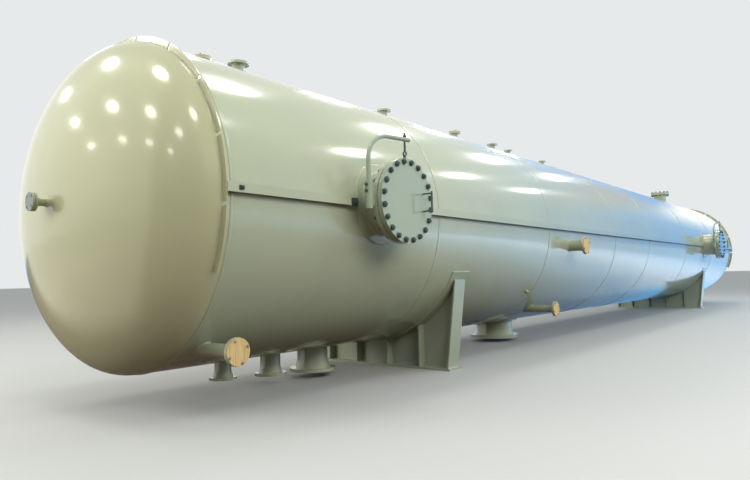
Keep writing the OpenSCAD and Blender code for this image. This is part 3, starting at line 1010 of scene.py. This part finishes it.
finish_node(
    "head_nozzle",
    faced_enamel("head nozzle enamel", (0.30, 0.32, 0.19), (0.25, 0.27, 0.16), (0.11, 0.15, 0.17)),
    smooth_shading,
)
head_nozzle_low, head_nozzle_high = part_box("head_nozzle")
head_nozzle_y = (head_nozzle_low.y + head_nozzle_high.y) / 2
head_nozzle_z = (head_nozzle_low.z + head_nozzle_high.z) / 2
head_nozzle_away = math.hypot(head_nozzle_y, head_nozzle_z - axis_z)
crown_rise = head_depth * math.sqrt(1 - (head_nozzle_away / shell_r) ** 2)
crown_spot = (near_seam - head_skirt - crown_rise, head_nozzle_y, head_nozzle_z)
weld(
    "head_nozzle_weld",
    [(*ring_line(crown_spot, (-1, 0, 0), pipe_r[2], 32), head_nozzle_fillet, True)],
    warm_lit_head_paint,
    pitch=0.01,
)

# Shipping covers: discs of 12 mm plywood on five of the flanges, each held by four short bolts
# with washers.

plywood_t = 0.012
washer_t = 0.003
washer_section = [(0.0065, 0), (0.013, 0), (0.013, washer_t), (0.0065, washer_t)]


def plywood_group():
    """Birch plywood: long grain with darker growth lines on the sheet's faces, and on its cut
    edge thin plies, light and dark in turn. What is above 3 m lies flat, and the rest stands."""
    tree, given, out = new_group(
        "plywood",
        "ShaderNodeTree",
        {
            "Light": (0.7, 0.52, 0.25, 1.0),
            "Dark": (0.5, 0.34, 0.14, 1.0),
            "Plies": 7.0,
            "Relief": 0.0006,
        },
        {"Colour": "Color", "Normal": "Vector"},
    )
    place = tree.nodes.new("ShaderNodeTexCoord")
    spot = place.outputs["Object"]
    long_grain = add(tree, "ShaderNodeMapping", {"Vector": spot, "Scale": (60.0, 4.0, 4.0)})
    wavy = ramp(tree, noise(tree, long_grain.outputs[0], 1.0, 5.0, 0.65), 0.4, 0.7)
    pores = add(tree, "ShaderNodeMapping", {"Vector": spot, "Scale": (500.0, 30.0, 30.0)})
    fine = sum_of(tree, noise(tree, pores.outputs[0], 1.0, 2.0), 0.35, "MULTIPLY")
    grain = sum_of(tree, wavy, fine, clamp=True)
    y, z = add(tree, "ShaderNodeSeparateXYZ", {0: spot}).outputs[1:]
    above = sum_of(tree, z, 3.0, "GREATER_THAN")
    through = add(tree, "ShaderNodeMix", {0: above, 2: y, 3: z}).outputs[0]
    count = sum_of(tree, given.outputs["Plies"], math.pi / plywood_t, "MULTIPLY")
    layer = sum_of(tree, through, count, "MULTIPLY")
    band = add(tree, "ShaderNodeMath", {0: layer}, operation="SINE").outputs[0]
    plies = ramp(tree, band, -0.3, 0.3)
    ny, nz = add(tree, "ShaderNodeSeparateXYZ", {0: place.outputs["Normal"]}).outputs[1:]
    faces = add(tree, "ShaderNodeMix", {0: above, 2: ny, 3: nz}).outputs[0]
    size = add(tree, "ShaderNodeMath", {0: faces}, operation="ABSOLUTE").outputs[0]
    flat = sum_of(tree, size, 0.7, "GREATER_THAN")
    share = add(tree, "ShaderNodeMix", {0: flat, 2: plies, 3: grain}).outputs[0]
    colour = mixed(tree, share, given.outputs["Light"], given.outputs["Dark"])
    tree.links.new(colour, out.inputs["Colour"])
    raised = add(tree, "ShaderNodeBump", {"Height": share, "Distance": given.outputs["Relief"]})
    tree.links.new(raised.outputs[0], out.inputs["Normal"])
    return tree


plywood, plywood_skin = surfaced("plywood", plywood_group(), {})
plywood_skin.inputs["Roughness"].default_value = 0.62
finish_node("nozzle_covers", plywood, smooth_shading)

zinc = steel("zinc plated steel", (0.36, 0.33, 0.26), 0.6, 0.4)
cover_bolts = {
    "nut_flats": 0.019,
    "nut_height": 0.009,
    "stud_diameter": 0.012,
    "overhang": 0.005,
    "depth": 0.014,
    "steel": zinc,
}
# Radius and number of holes of the bolt circle of each size of flange. Each cover is the middle
# of its outer face, the way that it faces, and its flange's size in inches.
bolt_circles = {3: (0.0762, 4), 4: (0.09525, 8), 6: (0.12065, 8)}
closed_flanges = (
    ((3.18, -1.717, 1.56), (0, -1, 0), 6),
    ((-3.31, -1.292, 0.575), (0, -1, 0), 4),
    ((2.91, -1.292, 0.575), (0, -1, 0), 4),
    ((-2.72, 0, 3.412), (0, 0, 1), 3),
    ((2.15, 0, axis_z + shell_r + 0.2 + plywood_t), (0, 0, 1), 3),
)
washers = bmesh.new()
for k, (centre, way, size) in enumerate(closed_flanges):
    radius, holes = bolt_circles[size]
    places = bolt_places(centre, way, radius, holes)[:: holes // 4]
    for place in places:
        turned(washers, washer_section, place, way, 16)
    raised = [place + washer_t * Vector(way) for place in places]
    studs("plywood_bolts_%d" % (k + 1), raised, way, **cover_bolts)
kept("plywood_washers", washers, zinc)

# Studio: a floor that the camera sees plain pale, under a pale world, with rows of round lamps
# overhead and three soft lights beside the tank. To every other ray the floor is dark brown, which
# is painted shade on the tank's underside. What only the enamel mirrors is painted reflection:
# brown low down, pale beside the near head, and bright and blue beyond the far end.

lamp_height = 9.0
lamp_rows = (-5.2, 0.0, 5.3, 12.0)
lamp_columns = (-17.0, -11.2, -5.7, 1.2, 6.6, 12.2, 17.8)
lamp_watts = 73.0
lamp_width = 1.7
floor_half = 400.0


def overlaid(tree, colour, patches):
    """The colour with patches over it in turn. Each patch is a colour and (value, low, high)
    ramps, which it needs all of."""
    for patch_colour, first, *others in patches:
        share = ramp(tree, *first)
        for limits in others:
            share = sum_of(tree, share, ramp(tree, *limits), "MULTIPLY")
        colour = mixed(tree, share, colour, patch_colour)
    return colour


floor_mesh = bpy.data.meshes.new("floor")
floor_mesh.from_pydata(
    [(x * floor_half, y * floor_half, 0) for x, y in ((-1, -1), (1, -1), (1, 1), (-1, 1))],
    [],
    [(0, 1, 2, 3)],
)
floor = bpy.data.objects.new("floor", floor_mesh)
bpy.context.scene.collection.objects.link(floor)
floor_paint = bpy.data.materials.new("pale floor")
floor_paint.use_nodes = True
floor_tree = floor_paint.node_tree
floor_skin = floor_tree.nodes["Principled BSDF"]
floor_skin.inputs["Roughness"].default_value = 0.7
floor_path = floor_tree.nodes.new("ShaderNodeLightPath").outputs
floor_spot = floor_tree.nodes.new("ShaderNodeTexCoord").outputs["Object"]
floor_x, floor_y = add(floor_tree, "ShaderNodeSeparateXYZ", {0: floor_spot}).outputs[:2]
# shade is the floor as every ray but the camera's sees it: painted shade in the light that the
# floor bounces up, and a painted brown reflection low on the enamel.
shade = (0.12, 0.085, 0.06, 1.0)
mirrored = overlaid(floor_tree, shade, [((0.45, 0.68, 1.0, 1.0), (floor_x, 1.5, 8.0))])
bounced = mixed(floor_tree, floor_path["Is Glossy Ray"], shade, mirrored)
floor_colour = mixed(floor_tree, floor_path["Is Camera Ray"], bounced, (0.46, 0.465, 0.46, 1.0))
floor_tree.links.new(floor_colour, floor_skin.inputs["Base Color"])
# In glossy rays alone the floor glows: painted reflections of blue daylight beyond the far end and
# of a pale patch beside the near head.
far_painted_glow = overlaid(
    floor_tree, (0.5, 0.45, 0.4, 1), [((0.05, 0.2, 0.5, 1), (floor_x, 16.0, 30.0))]
)
painted_daylight_glow = overlaid(floor_tree, (0.0, 0.22, 0.45, 1), [(far_painted_glow, (floor_y, -0.6, -1.2))])
glow = overlaid(
    floor_tree,
    (0, 0, 0, 1),
    [
        (painted_daylight_glow, (floor_x, 9.0, 14.0)),
        ((0.7, 0.7, 0.6, 1), (floor_x, -4.4, -5.2), (floor_y, -0.8, -0.2)),
    ],
)
floor_tree.links.new(glow, floor_skin.inputs["Emission Color"])
floor_tree.links.new(floor_path["Is Glossy Ray"], floor_skin.inputs["Emission Strength"])
floor_mesh.materials.append(floor_paint)

world = bpy.data.worlds.new("studio")
bpy.context.scene.world = world
world.use_nodes = True
sky = world.node_tree
toward = sky.nodes.new("ShaderNodeTexCoord").outputs["Generated"]
way_x, way_y, way_z = add(sky, "ShaderNodeSeparateXYZ", {0: toward}).outputs
pale_side = add(
    sky, "ShaderNodeVectorMath", {0: toward, 1: (0.8, 0.6, 0.0)}, operation="DOT_PRODUCT"
).outputs["Value"]
lighting = overlaid(sky, (0.10, 0.12, 0.13, 1), [((0.70, 0.73, 0.74, 1), (way_z, 0.0, 0.4))])
sky.links.new(lighting, sky.nodes["Background"].inputs["Color"])
# For glossy rays alone the world is a painted room: painted reflections of a pale wall, blue
# daylight and bright strips beyond the far end, a grey ceiling and a dark olive ground.
mirrored_world = overlaid(
    sky,
    (0.22, 0.23, 0.17, 1),
    [
        ((1.0, 1.0, 0.94, 1), (pale_side, -0.8, 0.7)),
        ((0.12, 0.42, 1.0, 1), (way_x, 0.78, 0.97)),
        ((0.50, 0.52, 0.46, 1), (way_z, 0.35, 0.9)),
        ((0.5, 0.47, 0.47, 1), (way_x, 0.9, 0.95), (way_z, 0.24, 0.32)),
        ((1.5, 1.5, 1.45, 1), (way_x, 0.965, 0.974), (way_y, -0.13, 0.0)),
        ((1.1, 1.12, 1.0, 1), (way_x, 0.0, -0.3), (way_y, -0.06, 0.1), (way_z, -0.5, -0.3)),
    ],
)
mirror = add(sky, "ShaderNodeBackground", {"Color": mirrored_world, "Strength": 1.0})
seen = add(sky, "ShaderNodeBackground", {"Color": (0.80, 0.82, 0.83, 1), "Strength": 1.0})
path = sky.nodes.new("ShaderNodeLightPath").outputs
lit = sky.nodes["Background"].outputs[0]
glossy = add(sky, "ShaderNodeMixShader", {0: path["Is Glossy Ray"], 1: lit, 2: mirror.outputs[0]})
picked = add(
    sky,
    "ShaderNodeMixShader",
    {0: path["Is Camera Ray"], 1: glossy.outputs[0], 2: seen.outputs[0]},
)
sky.links.new(picked.outputs[0], sky.nodes["World Output"].inputs["Surface"])


def hang(name, lamp, watts, colour, place):
    """Hangs a lamp out of the camera's sight, and returns its object."""
    lamp.energy = watts
    lamp.color = colour
    hung = bpy.data.objects.new(name, lamp)
    hung.location = place
    hung.visible_camera = False
    bpy.context.scene.collection.objects.link(hung)
    return hung


for row, y in enumerate(lamp_rows):
    for column, x in enumerate(lamp_columns):
        lamp = bpy.data.lights.new("lamp_%d_%d" % (row, column), "AREA")
        lamp.shape = "DISK"
        lamp.size = lamp_width
        hang(lamp.name, lamp, lamp_watts, (1.0, 0.98, 0.93), (x, y, lamp_height))


def soft_light(name, place, aim, size, watts, colour):
    """Large soft light that lights the tank but isn't mirrored in its enamel."""
    lamp = bpy.data.lights.new(name, "AREA")
    lamp.shape = "RECTANGLE"
    lamp.size, lamp.size_y = size
    hung = hang(name, lamp, watts, colour, place)
    hung.rotation_euler = (Vector(aim) - Vector(place)).to_track_quat("-Z", "Y").to_euler()
    hung.visible_glossy = False


soft_light("side_fill", (-2.0, -12.0, 7.5), (0.0, 0.0, 2.0), (12.0, 4.0), 1020.0, (1.0, 0.97, 0.9))
soft_light("end_fill", (-12.0, 6.5, 5.0), (-4.0, 0.5, 2.0), (6.0, 5.0), 900.0, (1.0, 0.98, 0.88))
soft_light("daylight", (17.0, -13.0, 4.5), (10.0, 0.0, 1.8), (10.0, 6.0), 1500.0, (0.42, 0.72, 1.0))

# Camera: the photograph's viewpoint, fitted to the shell's outline, the seams and the near
# manway's cover. It stands low beside the near head and looks along the manway side.

eye = Vector((-6.3775, -5.1671, 1.1284))
heading, pitch, roll = (math.radians(a) for a in (38.9539, 3.5423, -1.3862))
lens = 29.353

ahead = Vector(
    (math.cos(heading) * math.cos(pitch), math.sin(heading) * math.cos(pitch), math.sin(pitch))
)
level = Vector((math.sin(heading), -math.cos(heading), 0.0))
above = level.cross(ahead)
right = level * math.cos(roll) + above * math.sin(roll)
top = above * math.cos(roll) - level * math.sin(roll)
camera = bpy.data.objects.new("camera", bpy.data.cameras.new("camera"))
camera.data.lens = lens
camera.data.clip_end = 1000.0
camera.matrix_world = Matrix.Translation(eye) @ Matrix((right, top, -ahead)).transposed().to_4x4()
bpy.context.scene.collection.objects.link(camera)
bpy.context.scene.camera = camera
bpy.context.scene.view_settings.view_transform = "Standard"
